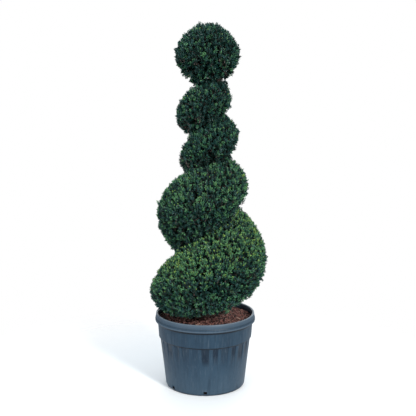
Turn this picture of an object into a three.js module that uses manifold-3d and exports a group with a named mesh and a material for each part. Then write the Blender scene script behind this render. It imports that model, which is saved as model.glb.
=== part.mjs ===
// Spiral topiary in a nursery pot.
// A small-leaved evergreen shrub, clipped as one leafy band that winds up round its trunk like a thick rope
// and ends in a ball. It grows in a round moulded plastic pot filled with bark mulch.
// Millimetres, +Z up. The origin is the centre of the pot's flat underside. The viewer stands at -Y, so turn
// angle 0 is the right-hand side, a quarter turn back is the front, and the band rises anticlockwise.
import * as THREE from 'three';
import { mergeVertices } from 'three/addons/utils/BufferGeometryUtils.js';
import Module from 'manifold-3d';

const wasm = await Module();
wasm.setup();

// ---------- driving dimensions ----------

const SOLID_GAP = 0.3; // clear air between two pieces that touch
const TURN = 2 * Math.PI;

const POT = {
  height: 596,
  rimRadius: 402, // outside of the rolled lip
  lipHeight: 64,
  lipWidth: 16,
  lipRounding: 7,
  collarTopRadius: 382, // plain collar under the lip
  collarFootZ: 404,
  collarFootRadius: 373,
  stepHeight: 10, // the wall steps in under the collar, inside as outside
  bodyTopRadius: 362, // tapered body under the collar
  footRadius: 317,
  footRounding: 16,
  wall: 5,
  base: 6,
  sides: 72,
};
// Knock-outs round the foot, counted from the front. One of them was never opened.
const DRAIN = { count: 7, width: 26, height: 20, reach: 40, midZ: 29, closed: 1 };
// The mulch lies this far below the rim at the wall and mounds up to a flat round the trunk.
const SOIL = { depth: 40, edgeSlope: 8, mound: 12, shoulderRadius: 180, flatRadius: 90, sides: 56 };

const FLARE_FLUTES = { count: 5, depth: 0.12, reach: 1.13 }; // buttresses of the root flare
const TRUNK = {
  footRadius: 34, // above the root flare
  tipRadius: 7,
  flare: 20, // extra radius where the roots spread
  flareHeight: 70,
  topZ: 2640,
  rings: 26,
  sides: 14,
};
// How far the trunk wanders to the right of plumb, at heights up the plant.
const TRUNK_DRIFT = [
  [560, 0],
  [1000, 10],
  [1480, -8],
  [1880, 16],
  [2200, 2],
  [2640, 17],
];

const BORE_CLEARANCE = 7; // foliage stands this far off the trunk
const TURN_GAP = 8; // slit between one turn of the band and the next
const SECTION_POINTS = 18;
const STEPS_PER_MASS = 6;
// Superellipse powers of the band's section: sloping shoulder, rounder belly, and square against the trunk.
const FULLNESS = { shoulder: 1.62, belly: 1.95, heart: 4.5 };
const LUMPS = 0.035; // how deep the shears' unevenness goes, as a share of the section

// The band, by turns counted from the right-hand side: height of its widest line, and how far it reaches
// from the trunk.
const BAND = [
  { turn: 0.17, middle: 640, reach: 250 },
  { turn: 0.25, middle: 672, reach: 330 },
  { turn: 0.5, middle: 771, reach: 450 },
  { turn: 0.75, middle: 920, reach: 472 },
  { turn: 1.0, middle: 1074, reach: 490 },
  { turn: 1.25, middle: 1235, reach: 440 },
  { turn: 1.5, middle: 1389, reach: 385 },
  { turn: 1.75, middle: 1512, reach: 368 },
  { turn: 2.0, middle: 1628, reach: 345 },
  { turn: 2.25, middle: 1727, reach: 275 },
  { turn: 2.5, middle: 1826, reach: 221 },
  { turn: 2.75, middle: 1932, reach: 240 },
  { turn: 3.0, middle: 2029, reach: 257 },
  { turn: 3.25, middle: 2102, reach: 250 },
  { turn: 3.5, middle: 2168, reach: 236 },
  { turn: 3.75, middle: 2236, reach: 222 },
  { turn: 4.0, middle: 2303, reach: 208 },
  { turn: 4.25, middle: 2345, reach: 175 },
  { turn: 4.42, middle: 2365, reach: 120 },
];
// The groove above the band, by the same turns: each turn's underside lies on the groove of the turn below.
const GROOVE = [
  [-0.85, 572],
  [-0.5, 576],
  [-0.35, 588],
  [-0.25, 618],
  [-0.12, 655],
  [0.0, 698],
  [0.25, 875],
  [0.5, 1070],
  [0.75, 1255],
  [1.0, 1429],
  [1.25, 1590],
  [1.5, 1715],
  [1.75, 1784],
  [2.0, 1830],
  [2.25, 1918],
  [2.5, 2009],
  [2.75, 2096],
  [3.0, 2180],
  [3.25, 2290],
  [3.5, 2366],
  [3.75, 2440],
  [4.0, 2458],
  [4.42, 2450],
];
const START_TURN = 0.17;
const START_ROUNDING = 0.16; // turns over which the low end swells from blunt to full
const END_TURN = 4.42;
const END_ROUNDING = 0.3;
const SIDES_IN_ORDER = ['left', 'front', 'right', 'back'];

const BALL = {
  middle: 2620,
  radius: 257,
  rise: 262,
  drop: 256,
  fullness: 1.75,
  rings: 12,
  sides: 24,
  clearance: 5,
};

const COLOURS = { foliage: 0x1f3a26, bark: 0x5b4a3c, pot: 0x3f4f5c, mulch: 0x4a2b20 };

// ---------- small tools ----------

// Smooth value of a table of [at, value] rows, with flat-free cubic steps between them.
function smooth(table, at) {
  const last = table.length - 1;
  if (at <= table[0][0]) return table[0][1];
  if (at >= table[last][0]) return table[last][1];
  const i = table.findIndex((row) => row[0] > at) - 1;
  const slope = (k) => {
    const a = table[Math.max(k - 1, 0)];
    const b = table[Math.min(k + 1, last)];
    return (b[1] - a[1]) / (b[0] - a[0]);
  };
  const [x0, y0] = table[i];
  const [x1, y1] = table[i + 1];
  const w = x1 - x0;
  const t = (at - x0) / w;
  const t2 = t * t;
  const t3 = t2 * t;
  return (
    (2 * t3 - 3 * t2 + 1) * y0 +
    (t3 - 2 * t2 + t) * w * slope(i) +
    (3 * t2 - 2 * t3) * y1 +
    (t3 - t2) * w * slope(i + 1)
  );
}

// A closed body through rings of equal length, each a list of points, with a fan over each end.
function loft(rings) {
  const n = rings[0].length;
  const points = rings.flat();
  const faces = [];
  for (let i = 0; i < rings.length - 1; i++) {
    for (let j = 0; j < n; j++) {
      const a = i * n + j;
      const b = i * n + ((j + 1) % n);
      faces.push(a, b, b + n, a, b + n, a + n);
    }
  }
  const middleOf = (ring) => ring.reduce((sum, p) => sum.add(p), new THREE.Vector3()).divideScalar(n);
  const first = points.push(middleOf(rings[0])) - 1;
  const last = points.push(middleOf(rings.at(-1))) - 1;
  const top = (rings.length - 1) * n;
  for (let j = 0; j < n; j++) {
    const k = (j + 1) % n;
    faces.push(first, k, j, last, top + j, top + k);
  }
  const geometry = new THREE.BufferGeometry().setFromPoints(points);
  geometry.setIndex(faces);
  return geometry;
}

// three.js geometry to a manifold-3d solid and back.
function toSolid(geometry) {
  const bare = geometry.clone();
  bare.deleteAttribute('normal');
  bare.deleteAttribute('uv');
  const merged = mergeVertices(bare, 1e-3);
  return new wasm.Manifold(
    new wasm.Mesh({
      numProp: 3,
      vertProperties: new Float32Array(merged.attributes.position.array),
      triVerts: new Uint32Array(merged.index.array),
    }),
  );
}

function toGeometry(solid) {
  const mesh = solid.getMesh();
  const geometry = new THREE.BufferGeometry();
  geometry.setAttribute('position', new THREE.BufferAttribute(new Float32Array(mesh.vertProperties), 3));
  geometry.setIndex(new THREE.BufferAttribute(new Uint32Array(mesh.triVerts), 1));
  return geometry;
}

function named(name, geometry, colour, roughness) {
  geometry.computeVertexNormals();
  const material = new THREE.MeshStandardMaterial({ color: colour, roughness, metalness: 0 });
  const mesh = new THREE.Mesh(geometry, material);
  mesh.name = name;
  return mesh;
}

// Lathe about Z of a profile of [radius, height] rows that starts and ends on the axis, bottom first.
function turned(profile, sides) {
  const geometry = new THREE.LatheGeometry(
    profile.map(([r, z]) => new THREE.Vector2(r, z)),
    sides,
  );
  return geometry.rotateX(Math.PI / 2);
}

// ---------- pot and soil ----------

const soilTopZ = POT.height - SOIL.depth;
const lipFootZ = POT.height - POT.lipHeight;
const stepFootZ = POT.collarFootZ - POT.stepHeight;

const between = (z, lowZ, lowR, highZ, highR) => lowR + ((highR - lowR) * (z - lowZ)) / (highZ - lowZ);

// Outside radius of the pot's wall at a height: tapered body, step, tapered collar.
function potOutside(z) {
  if (z < stepFootZ) return between(z, 0, POT.footRadius, stepFootZ, POT.bodyTopRadius);
  if (z < POT.collarFootZ) {
    return between(z, stepFootZ, POT.bodyTopRadius, POT.collarFootZ, POT.collarFootRadius);
  }
  return between(z, POT.collarFootZ, POT.collarFootRadius, lipFootZ, POT.collarTopRadius);
}

const potInside = (z) => potOutside(z) - POT.wall;

function makePot() {
  const bend = POT.footRounding;
  const rounding = [0, 1, 2, 3].map((i) => {
    const a = (i / 3) * (Math.PI / 2);
    return [POT.footRadius - bend + bend * Math.sin(a), bend - bend * Math.cos(a)];
  });
  const outerWall = [stepFootZ, POT.collarFootZ, lipFootZ].map((z) => [potOutside(z), z]);
  const lip = [
    [POT.rimRadius - POT.lipRounding, lipFootZ],
    [POT.rimRadius, lipFootZ + POT.lipRounding],
    [POT.rimRadius, POT.height - POT.lipRounding],
    [POT.rimRadius - POT.lipRounding, POT.height],
    [POT.rimRadius - POT.lipWidth, POT.height],
  ];
  const innerWall = [POT.height - POT.lipRounding, POT.collarFootZ, stepFootZ, POT.base].map((z) => {
    return [potInside(z), z];
  });
  const profile = [[0, 0], ...rounding, ...outerWall, ...lip, ...innerWall, [0, POT.base]];
  let solid = toSolid(turned(profile, POT.sides));
  for (let i = 0; i < DRAIN.count; i++) {
    if (i === DRAIN.closed) continue;
    const angle = -Math.PI / 2 + (i * TURN) / DRAIN.count;
    const cutter = new THREE.BoxGeometry(DRAIN.reach, DRAIN.width, DRAIN.height);
    cutter.translate(potInside(DRAIN.midZ), 0, DRAIN.midZ).rotateZ(angle);
    solid = solid.subtract(toSolid(cutter));
  }
  return named('pot', toGeometry(solid), COLOURS.pot, 0.5);
}

function makeSoil() {
  const inside = (z) => potInside(z) * Math.cos(Math.PI / POT.sides) - 2 * SOLID_GAP;
  const foot = POT.base + SOLID_GAP;
  const profile = [
    [0, foot],
    [inside(foot), foot],
    [inside(stepFootZ), stepFootZ],
    [inside(POT.collarFootZ), POT.collarFootZ],
    [inside(soilTopZ - SOIL.edgeSlope), soilTopZ - SOIL.edgeSlope],
    [inside(soilTopZ) - 3 * SOIL.edgeSlope, soilTopZ],
    [SOIL.shoulderRadius, soilTopZ + SOIL.mound * 0.7],
    [SOIL.flatRadius, soilTopZ + SOIL.mound],
    [0, soilTopZ + SOIL.mound],
  ];
  return named('mulch_root_ball', turned(profile, SOIL.sides), COLOURS.mulch, 0.95);
}

// ---------- trunk ----------

const trunkFootZ = soilTopZ + SOIL.mound + SOLID_GAP;

const trunkX = (z) => smooth(TRUNK_DRIFT, z);

// The root flare is full at the soil and dies away just above it.
const flareShare = (z) => Math.exp((-3 * (z - trunkFootZ)) / TRUNK.flareHeight);

// Trunk radius: a straight taper, and the flare.
function trunkRadius(z) {
  const up = Math.min(1, (z - trunkFootZ) / (TRUNK.topZ - trunkFootZ));
  return TRUNK.footRadius + (TRUNK.tipRadius - TRUNK.footRadius) * up + TRUNK.flare * flareShare(z);
}

function trunkRings(extra) {
  const rings = [];
  for (let i = 0; i <= TRUNK.rings; i++) {
    const share = Math.pow(i / TRUNK.rings, 1.35); // closer rings at the flare
    const z = trunkFootZ + (TRUNK.topZ - trunkFootZ) * share + (i === TRUNK.rings ? extra : 0);
    const ring = [];
    for (let j = 0; j < TRUNK.sides; j++) {
      const a = (j / TRUNK.sides) * TURN;
      const buttress = 1 + FLARE_FLUTES.depth * Math.cos(FLARE_FLUTES.count * a) * flareShare(z);
      const r = trunkRadius(z) * buttress + extra;
      ring.push(new THREE.Vector3(trunkX(z) + r * Math.cos(a), r * Math.sin(a), z));
    }
    rings.push(ring);
  }
  return rings;
}

function makeTrunk() {
  return named('trunk', loft(trunkRings(0)), COLOURS.bark, 0.9);
}

// ---------- the leafy band ----------

const bandMiddle = (turn) => smooth(BAND.map((b) => [b.turn, b.middle]), turn);
const bandReach = (turn) => smooth(BAND.map((b) => [b.turn, b.reach]), turn);
const groove = (turn) => smooth(GROOVE, turn);

// Share of full size near the band's two ends, which are clipped round.
function endShare(turn) {
  const round = (distance, length) => Math.sqrt(Math.max(0, 1 - (1 - Math.min(1, distance / length)) ** 2));
  const low = round(turn - START_TURN + 0.008, START_ROUNDING);
  const high = round(END_TURN - turn + 0.008, END_ROUNDING);
  return Math.min(1, low, high);
}

// Seam-free unevenness of the clipped surface, from 0 to 1.
function unevenness(turn, around) {
  const a = Math.sin(turn * 9.1 + 1.3 * Math.sin(around + 0.6));
  const b = Math.sin(turn * 17.3 + 2.0 * Math.cos(around * 2 + 1.1) + 2.4);
  const c = Math.cos(around * 3 + turn * 5.7);
  return 0.5 + (a * 0.45 + b * 0.35 + c * 0.2) / 2;
}

// The band's section at a turn: a rounded outline from the trunk out to its reach, as world points.
function bandSection(turn, shift) {
  const share = endShare(turn);
  const middle = bandMiddle(turn);
  const rise = Math.max(20, (groove(turn) - TURN_GAP / 2 - middle) * share);
  const drop = Math.max(20, (middle - groove(turn - 1) - TURN_GAP / 2) * share);
  const half = (bandReach(turn) * (0.35 + 0.65 * share)) / 2;
  const angle = turn * TURN;
  const along = new THREE.Vector3(-Math.sin(angle), Math.cos(angle), 0);
  const ring = [];
  for (let j = 0; j < SECTION_POINTS; j++) {
    const around = (-j / SECTION_POINTS) * TURN; // clockwise, as the band runs anticlockwise
    const outward = Math.cos(around);
    const upward = Math.sin(around);
    const fullness = outward < 0 ? FULLNESS.heart : upward > 0 ? FULLNESS.shoulder : FULLNESS.belly;
    const c = Math.sign(outward) * Math.abs(outward) ** (2 / fullness);
    const s = Math.sign(upward) * Math.abs(upward) ** (2 / fullness);
    const keep = 1 - LUMPS * unevenness(turn, around);
    const z = middle + (s > 0 ? rise : drop) * s * keep;
    const bore = trunkRadius(z) * FLARE_FLUTES.reach + BORE_CLEARANCE;
    const r = Math.max(bore, half + half * c * keep);
    const point = new THREE.Vector3(trunkX(z) + r * Math.cos(angle), r * Math.sin(angle), z);
    ring.push(point.addScaledVector(along, shift));
  }
  return ring;
}

function bandMass(name, from, to) {
  const rings = [];
  for (let i = 0; i <= STEPS_PER_MASS; i++) {
    const turn = from + ((to - from) * i) / STEPS_PER_MASS;
    const shift = i === 0 ? SOLID_GAP : i === STEPS_PER_MASS ? -SOLID_GAP : 0;
    rings.push(bandSection(turn, shift));
  }
  return named(name, loft(rings), COLOURS.foliage, 0.9);
}

// ---------- the ball ----------

function ballSurface(extra) {
  const rings = [];
  const cut = 0.06; // flat of the first and last ring, as a share of the half turn
  for (let i = 0; i <= BALL.rings; i++) {
    const lift = -Math.PI / 2 + Math.PI * (cut + (1 - 2 * cut) * (i / BALL.rings));
    const power = 2 / BALL.fullness;
    const s = Math.sign(Math.sin(lift)) * Math.abs(Math.sin(lift)) ** power;
    const c = Math.abs(Math.cos(lift)) ** power;
    const ring = [];
    for (let j = 0; j < BALL.sides; j++) {
      const a = (j / BALL.sides) * TURN;
      const lump = Math.sin(2 * a + 3 * lift) * 0.5 + Math.cos(3 * a - 2 * lift + 1) * 0.5;
      const keep = 1 + LUMPS * 0.5 * (lump - 1) * Math.cos(lift);
      const r = (BALL.radius * keep + extra) * c;
      const z = BALL.middle + ((s > 0 ? BALL.rise : BALL.drop) + extra) * s;
      ring.push(new THREE.Vector3(trunkX(BALL.middle) + r * Math.cos(a), r * Math.sin(a), z));
    }
    rings.push(ring);
  }
  return loft(rings);
}

// ---------- the whole plant ----------

const topiary = new THREE.Group();
topiary.name = 'spiral_topiary';
topiary.add(makePot(), makeSoil(), makeTrunk());

const trunkBore = toSolid(loft(trunkRings(BORE_CLEARANCE)));
const ball = toGeometry(toSolid(ballSurface(0)).subtract(trunkBore));
topiary.add(named('foliage_ball_top', ball, COLOURS.foliage, 0.9));

// The band is one mass for each quarter turn, named by its turn and the side it is on.
const ballRoom = toSolid(ballSurface(BALL.clearance));
const QUARTER = 0.25;
const firstQuarter = 0.375;
topiary.add(bandMass('foliage_band_start_back', START_TURN, firstQuarter));
for (let i = 0; firstQuarter + i * QUARTER < END_TURN - 0.05; i++) {
  const from = firstQuarter + i * QUARTER;
  const to = Math.min(from + QUARTER, END_TURN);
  const name = `foliage_turn${1 + Math.floor(i / 4)}_${SIDES_IN_ORDER[i % 4]}`;
  const mass = bandMass(name, from, to);
  if (groove(to) > BALL.middle - BALL.drop - BALL.clearance - TURN_GAP) {
    mass.geometry = toGeometry(toSolid(mass.geometry).subtract(ballRoom));
  }
  topiary.add(mass);
}

export default topiary;
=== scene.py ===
"""Spiral topiary in a nursery pot, made in the order a nursery makes it: pot, compost and mulch,
trunk, boughs and twigs, then leaves. Metres, +Z up. The viewer's front is -Y."""
import math

import bpy
import numpy as np
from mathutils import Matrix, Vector
from mathutils.bvhtree import BVHTree


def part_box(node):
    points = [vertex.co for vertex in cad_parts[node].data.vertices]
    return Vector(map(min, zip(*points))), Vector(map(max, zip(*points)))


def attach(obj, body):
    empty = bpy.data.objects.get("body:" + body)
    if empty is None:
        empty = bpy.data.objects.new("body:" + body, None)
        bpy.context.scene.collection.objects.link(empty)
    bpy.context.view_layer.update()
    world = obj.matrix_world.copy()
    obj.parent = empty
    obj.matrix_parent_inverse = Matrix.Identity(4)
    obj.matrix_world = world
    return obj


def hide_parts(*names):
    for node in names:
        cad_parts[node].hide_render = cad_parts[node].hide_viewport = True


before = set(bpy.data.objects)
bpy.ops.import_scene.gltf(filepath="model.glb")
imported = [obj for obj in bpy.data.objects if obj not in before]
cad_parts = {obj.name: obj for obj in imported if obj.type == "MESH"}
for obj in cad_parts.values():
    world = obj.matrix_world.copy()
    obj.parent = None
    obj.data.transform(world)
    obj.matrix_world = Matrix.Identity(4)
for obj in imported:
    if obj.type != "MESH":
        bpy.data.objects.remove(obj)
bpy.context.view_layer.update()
dice = np.random.default_rng(2718)


# -------------------------------------------------- pot
# A round tapered nursery pot, injection moulded in blue-grey polyethylene with a thin wall. The rim
# is a folded lip. Under it is a plain collar, and shallow flutes that fade out down the body.
# Knock-outs round the foot let the water out. One of them was never pushed through.
_, pot_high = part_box("pot")
POT_TOP = pot_high[2]
RIM_RADIUS = pot_high[0]
WALL = 0.0045
LIP_FOOT = POT_TOP - 0.062
COLLAR_FOOT = 0.404
STEP_FOOT = 0.394
FOOT_RADIUS, STEP_RADIUS, COLLAR_RADIUS = 0.317, 0.362, 0.373
STEP_SLOPE, COLLAR_SLOPE = 1.1, 0.0703  # out for each metre up
FOOT_ROUNDING = 0.016
LIP_ROUNDING = 0.0100  # of its round top
LIP_EDGE = 0.0022  # rounding of its lower edge
HOLE_LOW, HOLE_HIGH = 0.019, 0.039
HOLES, CLOSED_HOLE = 7, 1
HOLE_SUNK = 0.0012  # how far the closed knock-out stands back
HALF_HOLE = 4.6  # in columns of the grid
FLUTE_PAIRS = 14
FLUTE_END = 0.235
FLUTE_DEPTH = 0.0075
NARROW_FLUTE_SHARE = 0.6  # of the depth of a wide one
# Half widths and sloping edges of the flutes and of the two mould lines, and the lines' place.
WIDE_FLUTE, NARROW_FLUTE, FLUTE_EDGE = math.radians(4.3), math.radians(3.0), math.radians(0.55)
SEAM_WIDTH, SEAM_EDGE, SEAM_AT = math.radians(0.3), math.radians(0.5), math.radians(-3.4)
SEAM_HEIGHT = 0.0006
BASE_ROWS = 8  # of the grid, which the mould lines stop short of
COLUMNS = 96 * HOLES  # round the pot; a whole number for each knock-out and each flute
NEAR = 1e-6  # a height this close to another is the same one


def body_radius(z):
    """Outside of the wall at height z: a tapered body, and a wider collar above the step."""
    if z < COLLAR_FOOT:
        taper = (STEP_RADIUS - FOOT_RADIUS) * min(z, STEP_FOOT) / STEP_FOOT
        return FOOT_RADIUS + taper + max(0, z - STEP_FOOT) * STEP_SLOPE
    return COLLAR_RADIUS + (z - COLLAR_FOOT) * COLLAR_SLOPE


def arc(r, z, radius, start, end, steps):
    """Points of a rounding, by angles in degrees in the pot's section: 0 outwards and 90 up."""
    turns = np.radians(np.linspace(start, end, steps))
    return [(r + radius * math.cos(a), z + radius * math.sin(a)) for a in turns]


outside = [(0.06, 0.004), (0.24, 0.004), (0.25, 0.0), (0.29, 0.0)]
outside += arc(body_radius(0) - FOOT_ROUNDING, FOOT_ROUNDING, FOOT_ROUNDING, -80, -8, 7)
outside += [(body_radius(z), z) for z in (HOLE_LOW, HOLE_HIGH, 0.06, 0.10, 0.15, 0.20)]
outside += [(body_radius(z), z) for z in np.linspace(FLUTE_END - 0.01, STEP_FOOT, 18)]
outside += [(body_radius(COLLAR_FOOT) - 0.0012, COLLAR_FOOT - 0.0016)]
outside += [(body_radius(z), z) for z in (COLLAR_FOOT, 0.408, 0.43, 0.47, 0.51, LIP_FOOT + 0.014)]
# The lip: its hollow underside, a band that stands proud round its foot, a slope above that, and a
# round top.
lip = [(RIM_RADIUS - 0.0075, LIP_FOOT + 0.012), (RIM_RADIUS - 0.0045, LIP_FOOT + 0.002)]
lip += arc(RIM_RADIUS - 0.0024, LIP_FOOT + LIP_EDGE, LIP_EDGE, -90, 20, 4)
lip += [(RIM_RADIUS - lean, LIP_FOOT + up) for lean, up in (
    (0.0003, 0.010), (0.0003, 0.019), (0.0012, 0.0225),
    (0.0040, 0.0250), (0.0046, 0.034), (0.0058, 0.043),
)]
lip += arc(RIM_RADIUS - 0.0150, POT_TOP - LIP_ROUNDING, LIP_ROUNDING, 42, 165, 11)
outside += lip
inside = [(body_radius(z) - WALL, z) for z in (
    POT_TOP - 0.03, LIP_FOOT, 0.47, COLLAR_FOOT, STEP_FOOT, 0.30, 0.20, 0.10, HOLE_HIGH, HOLE_LOW,
    0.006,
)]
inside += [(0.06, 0.006)]
rows = np.array(outside + inside)
column_angle = math.tau / COLUMNS
angles = -math.pi / 2 + (np.arange(COLUMNS) - 0.5) * column_angle
r_grid = np.repeat(rows[:, :1], COLUMNS, axis=1)
z_grid = np.repeat(rows[:, 1:], COLUMNS, axis=1)
around = angles[None, :] + math.pi / 2  # from the front


def slot_profile(offset, half_width, edge):
    """1 inside a flute, 0 outside, with sloping edges; offset is the angle from its middle."""
    return np.clip((half_width + edge - np.abs(offset)) / edge, 0, 1)


def nearest(angle, pitch, start=0.0):
    """Angle from the nearest of the lines that stand at every pitch round the pot."""
    return (angle - start + pitch / 2) % pitch - pitch / 2


pitch = math.tau / FLUTE_PAIRS
wide = slot_profile(nearest(around, pitch), WIDE_FLUTE, FLUTE_EDGE)
narrow = slot_profile(nearest(around, pitch, pitch / 2), NARROW_FLUTE, FLUTE_EDGE)
fade = np.clip((z_grid - FLUTE_END) / (STEP_FOOT - FLUTE_END), 0, 1)
fade *= z_grid <= STEP_FOOT + NEAR
fade[len(outside):] = 0
r_grid -= FLUTE_DEPTH * fade * (wide + NARROW_FLUTE_SHARE * narrow)
seam = slot_profile(nearest(around, math.pi, SEAM_AT), SEAM_WIDTH, SEAM_EDGE)
on_wall = np.zeros_like(fade)
on_wall[BASE_ROWS:len(outside) - len(lip)] = 1
r_grid += SEAM_HEIGHT * seam * on_wall
closed_at = math.tau * CLOSED_HOLE / HOLES
closed = np.abs(nearest(around, math.tau, closed_at)) < HALF_HOLE * column_angle
at_holes = (rows[:, 1] >= HOLE_LOW - NEAR) & (rows[:, 1] <= HOLE_HIGH + NEAR)
hole_rows = np.flatnonzero(at_holes & (rows[:, 0] > FOOT_RADIUS - FOOT_ROUNDING))
outer_hole = [i for i in hole_rows if i < len(outside)][-2:]
inner_hole = [i for i in hole_rows if i >= len(outside)]
for row in outer_hole:
    r_grid[row] -= HOLE_SUNK * closed[0]

pot_verts = np.stack([r_grid * np.cos(angles), r_grid * np.sin(angles), z_grid], axis=-1)
pot_verts = pot_verts.reshape(-1, 3)
pot_verts = np.concatenate([pot_verts, [(0, 0, rows[0][1]), (0, 0, rows[-1][1])]])


def point(row, column):
    """Number of a vertex of the pot's grid."""
    return row * COLUMNS + column % COLUMNS


def strip(row, next_row, at):
    """Faces between two rows of the pot's grid, at some of its columns."""
    corners = [point(row, at), point(row, at + 1), point(next_row, at + 1), point(next_row, at)]
    return np.stack(corners, axis=1)


columns = np.arange(COLUMNS)
cell_middle = around[0] + column_angle / 2
is_open = np.abs(nearest(cell_middle, math.tau / HOLES)) < HALF_HOLE * column_angle
is_open &= np.abs(nearest(cell_middle, math.tau, closed_at)) > 2 * HALF_HOLE * column_angle
pot_faces = []
for row in range(len(rows) - 1):
    keep = columns
    if row in (outer_hole[0], inner_hole[0]):
        keep = columns[~is_open]
    pot_faces.append(strip(row, row + 1, keep))
out_low, out_high = outer_hole
in_high, in_low = inner_hole
cut = columns[is_open]
plain_faces = sum(len(faces) for faces in pot_faces)
pot_faces += [strip(out_low, in_low, cut)[:, ::-1], strip(out_high, in_high, cut)]
first = columns[is_open & ~np.roll(is_open, 1)]
last = columns[is_open & ~np.roll(is_open, -1)] + 1
for side, order in ((first, -1), (last, 1)):
    jamb = [point(row, side) for row in (out_low, out_high, in_high, in_low)]
    pot_faces.append(np.stack(jamb, axis=1)[:, ::order])


def end_fans(rings, sides):
    """Faces that close the first and the last of so many rings of vertices, each round a middle.
    The two middles are numbered next after the rings."""
    at = np.arange(sides)
    beside = (at + 1) % sides
    last = (rings - 1) * sides
    return np.concatenate([
        np.stack([beside, at, np.full(sides, rings * sides)], axis=1),
        np.stack([at + last, beside + last, np.full(sides, rings * sides + 1)], axis=1),
    ])


def mesh_piece(name, verts, face_sets, materials, slots=None, smooth=False):
    """One joined mesh object. Each face set is an array of faces with equal corner counts, and
    slots gives each face's material."""
    mesh = bpy.data.meshes.new(name)
    corners = np.concatenate([faces.ravel() for faces in face_sets])
    sizes = np.concatenate([np.full(len(faces), faces.shape[1]) for faces in face_sets])
    mesh.vertices.add(len(verts))
    mesh.vertices.foreach_set("co", verts.astype(np.float32).ravel())
    mesh.loops.add(len(corners))
    mesh.loops.foreach_set("vertex_index", corners.astype(np.int32))
    mesh.polygons.add(len(sizes))
    mesh.polygons.foreach_set("loop_start", (np.cumsum(sizes) - sizes).astype(np.int32))
    for material in materials:
        mesh.materials.append(material)
    if slots is not None:
        mesh.polygons.foreach_set("material_index", slots.astype(np.int32))
    mesh.polygons.foreach_set("use_smooth", np.full(len(sizes), smooth))
    mesh.update()
    mesh.validate()
    piece = bpy.data.objects.new(name, mesh)
    bpy.context.collection.objects.link(piece)
    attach(piece, "root")
    return piece


class Finish:
    """A material's node tree, with its Principled shader as .shader."""

    def __init__(self, name, roughness, specular=0.5):
        self.material = bpy.data.materials.new(name)
        self.material.use_nodes = True
        self.nodes = self.material.node_tree.nodes
        self.links = self.material.node_tree.links
        self.shader = self.nodes["Principled BSDF"]
        self.shader.inputs["Roughness"].default_value = roughness
        self.shader.inputs["Specular IOR Level"].default_value = specular

    def node(self, kind, inputs=None, **settings):
        """Adds a node, with its plain inputs and links by socket name or number."""
        made = self.nodes.new(kind)
        for key, value in settings.items():
            setattr(made, key, value)
        for key, value in (inputs or {}).items():
            if isinstance(value, bpy.types.NodeSocket):
                self.links.new(value, made.inputs[key])
            else:
                made.inputs[key].default_value = value
        return made

    def noise(self, scale, detail=4.0, roughness=0.55, stretch=(1, 1, 1)):
        """Noise in the object's own coordinates; a stretch under 1 makes it longer that way."""
        place = self.node("ShaderNodeTexCoord").outputs["Object"]
        mapped = self.node("ShaderNodeMapping", {"Vector": place, "Scale": stretch})
        inputs = {"Vector": mapped.outputs["Vector"], "Scale": scale, "Detail": detail,
                  "Roughness": roughness}
        return self.node("ShaderNodeTexNoise", inputs).outputs["Fac"]

    def spread(self, value, start, end, most=1.0, least=0.0):
        """Goes evenly from least to most as value goes from start to end."""
        inputs = {"Value": value, "From Min": start, "From Max": end, "To Min": least,
                  "To Max": most}
        return self.node("ShaderNodeMapRange", inputs).outputs["Result"]

    def reckon(self, operation, *terms):
        """One step of arithmetic on numbers and number patterns."""
        made = self.node("ShaderNodeMath", dict(enumerate(terms)), operation=operation)
        return made.outputs[0]

    def ramp(self, factor, *stops):
        """Colour ramp of (position, colour) stops."""
        ramp = self.node("ShaderNodeValToRGB", {"Fac": factor})
        marks = ramp.color_ramp.elements
        while len(marks) < len(stops):
            marks.new(0.5)
        for mark, (position, colour) in zip(marks, stops):
            mark.position = position
            mark.color = (*colour, 1)
        return ramp.outputs["Color"]

    def mix(self, factor, below, above):
        """Colour that goes from below to above as factor goes from 0 to 1."""
        mixer = self.node("ShaderNodeMix", data_type="RGBA")
        for number, value in ((0, factor), (6, below), (7, above)):
            if isinstance(value, bpy.types.NodeSocket):
                self.links.new(value, mixer.inputs[number])
            else:
                mixer.inputs[number].default_value = value if number == 0 else (*value, 1)
        return mixer.outputs[2]

    def plain(self, colour):
        """Gives the shader one colour all over."""
        self.shader.inputs["Base Color"].default_value = (*colour, 1)

    def colour(self, output):
        """Feeds a colour pattern to the shader."""
        self.links.new(output, self.shader.inputs["Base Color"])

    def bump(self, height, strength, distance):
        """Bumps the shader by a height pattern."""
        inputs = {"Height": height, "Strength": strength, "Distance": distance}
        made = self.node("ShaderNodeBump", inputs)
        self.links.new(made.outputs["Normal"], self.shader.inputs["Normal"])


# Colours of the moulding from darker stains to paler ones, of what age does to it, of a paler
# foot, and of painted shade and painted highlights.
STAINED, MOULDED, PALE = (0.011, 0.030, 0.054), (0.016, 0.041, 0.070), (0.026, 0.054, 0.086)
PALER_FOOT = (0.045, 0.078, 0.112)
FLUTE_PAINTED_SHADE = (0.003, 0.012, 0.026)
SCUFFED = (0.070, 0.098, 0.128)
STREAKED = (0.010, 0.024, 0.042)
SHADE_LINE_TONE = (0.002, 0.005, 0.010)
LIP_HIGHLIGHT_TONE = (0.074, 0.106, 0.142)
DUSTY = (0.080, 0.108, 0.135)
FOOT_PALING = (0.24, 0.06)  # heights where the foot begins to turn paler, and where it is palest
FLUTE_SHADE_DEPTHS = (0.0004, 0.0028)  # depths in a flute where painted shade begins, and where it is full
# Lines of painted shade, by height and half width: under the lip, and under the collar.
SHADE_LINES_BELOW = ((LIP_FOOT - 0.009, 0.011), (COLLAR_FOOT - 0.005, 0.0075))
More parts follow.
